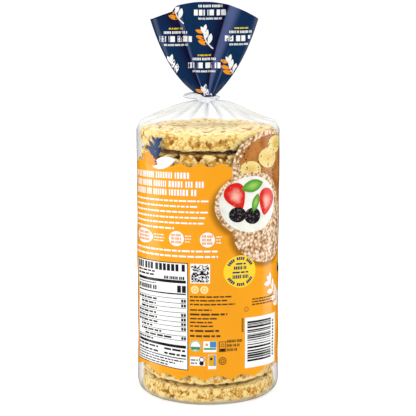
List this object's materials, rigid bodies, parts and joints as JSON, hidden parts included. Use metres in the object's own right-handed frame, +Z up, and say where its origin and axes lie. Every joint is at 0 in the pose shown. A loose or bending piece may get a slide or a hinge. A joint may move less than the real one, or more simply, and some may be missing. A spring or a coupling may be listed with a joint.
{
  "type": "bag of puffed rice cakes",
  "caption": "Shut clear film bag holding a stack of round puffed rice cakes, with a plain printed band, a gathered neck and a fanned top.",
  "frame": {"origin": "middle of the base, on the surface the bag stands on", "axes": "+Z up along the stack, -Y towards the printed panel, +X to the viewer's right when facing that panel"},
  "size_m": [0.1, 0.1, 0.2725],
  "materials": {
    "printed_film": "glossy printed film, orange band with fields of colour",
    "white_film": "crumpled milky white film with a soft sheen",
    "clear_film": "thin clear film, milky where it is gathered",
    "navy_film": "glossy dark blue printed film, pleated",
    "puffed_rice": "rough puffed grains, cream with golden flecks"
  },
  "bodies": {
    "root": {"bag": "printed_film", "neck_wrap": "white_film"}
  },
  "joints": []
}
